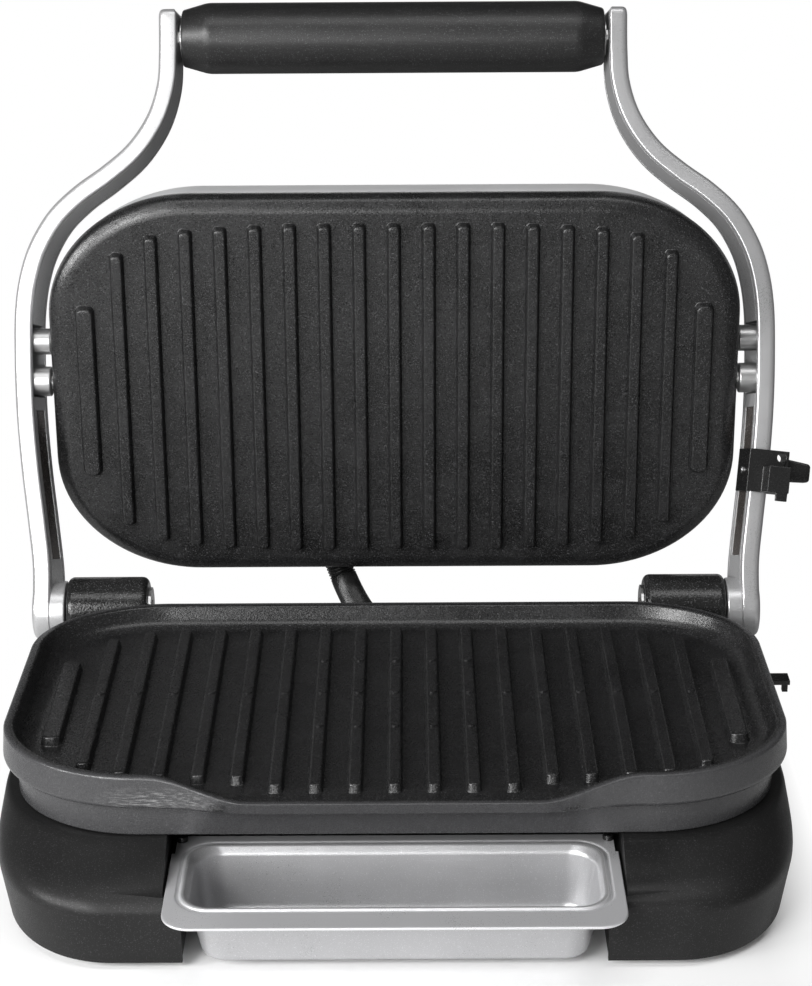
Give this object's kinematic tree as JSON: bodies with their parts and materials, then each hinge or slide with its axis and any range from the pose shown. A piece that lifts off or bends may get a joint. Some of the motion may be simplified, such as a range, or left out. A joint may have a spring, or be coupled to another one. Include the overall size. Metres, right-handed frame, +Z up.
{
  "type": "electric contact grill",
  "caption": "Open contact grill with two ribbed plates, silver arms on rear hinges, a round handle, a sliding lock, a ribbed conduit and a pull-out drip tray",
  "frame": {"origin": "middle of the bottom cover's flat underside, 3 mm above the table that the feet stand on", "axes": "+X to the user's right, +Y to the back, +Z up; the arms turn about the X direction"},
  "size_m": [0.3866, 0.3702, 0.3382],
  "materials": {
    "casing_plastic": "fine-grained black moulded plastic",
    "nonstick_casting": "dark speckled non-stick coating on die-cast aluminium",
    "arm_silver": "satin silver die casting",
    "tray_silver": "fine-grained satin silver sheet",
    "grip_plastic": "black heat-resistant plastic",
    "gloss_black": "glossy black moulded plastic",
    "insert_dark": "dark brown glossy strip",
    "steel": "plain steel",
    "shield_sheet": "thin bright aluminium sheet",
    "rubber": "black rubber",
    "ceramic": "unglazed ceramic",
    "cover_silver": "silver-painted heat-resistant plastic"
  },
  "bodies": {
    "base": {"base_casing": "casing_plastic", "bottom_cover": "steel", "foot_front_left": "rubber", "foot_front_right": "rubber", "foot_rear_left": "rubber", "foot_rear_right": "rubber", "base_screw_1": "steel", "base_screw_2": "steel", "base_screw_3": "steel", "base_screw_4": "steel", "lower_plate": "nonstick_casting", "lower_heating_element": "steel", "lower_heat_shield": "shield_sheet", "lower_thermostat": "ceramic", "thermal_fuse": "ceramic", "terminal_block": "ceramic", "cord_gland": "gloss_black", "right_hinge_housing": "casing_plastic", "left_hinge_housing": "casing_plastic", "right_hinge_shaft": "steel", "left_hinge_shaft": "steel", "right_hinge_washer": "arm_silver", "left_hinge_washer": "arm_silver", "lock_catch": "gloss_black", "ribbed_conduit": "gloss_black", "conduit_gland": "gloss_black"},
    "tray": {"drip_tray": "tray_silver", "right_tray_stud": "rubber", "left_tray_stud": "rubber"},
    "arms": {"right_arm": "arm_silver", "left_arm": "arm_silver", "right_arm_insert": "insert_dark", "left_arm_insert": "insert_dark", "right_hub_cap": "steel", "left_hub_cap": "steel", "right_stop_pin": "arm_silver", "left_stop_pin": "arm_silver", "handle_grip": "grip_plastic", "handle_rod": "steel", "right_handle_screw": "steel", "left_handle_screw": "steel"},
    "lock": {"lock_clip": "gloss_black"},
    "head": {"upper_plate": "nonstick_casting", "top_cover": "cover_silver", "upper_heating_element": "steel", "upper_heat_shield": "shield_sheet", "upper_thermostat": "ceramic", "right_pivot_pin": "arm_silver", "left_pivot_pin": "arm_silver", "cover_screw_1": "steel", "cover_screw_2": "steel", "cover_screw_3": "steel", "cover_screw_4": "steel", "conduit_sleeve": "gloss_black"}
  },
  "joints": [
    {"name": "arm_hinge", "type": "hinge", "parent": "base", "child": "arms", "pos_m": [0, 0.1062, 0.0597], "axis": [1, 0, 0], "range_deg": [0, 98], "deforming": ["ribbed_conduit"]},
    {"name": "plate_pivot", "type": "hinge", "parent": "arms", "child": "head", "pos_m": [0, 0.1492, 0.16301], "axis": [1, 0, 0], "range_deg": [-9, 0]},
    {"name": "lock_slide", "type": "slide", "parent": "arms", "child": "lock", "axis": [-0.108, -0.382, -0.9178], "range_m": [0, 0.0035]},
    {"name": "tray_slide", "type": "slide", "parent": "base", "child": "tray", "axis": [0, -1, 0], "range_m": [0, 0.1]}
  ],
  "couplings": [
    {"joint": "plate_pivot", "follows": "arm_hinge", "ratio": -0.081633}
  ]
}
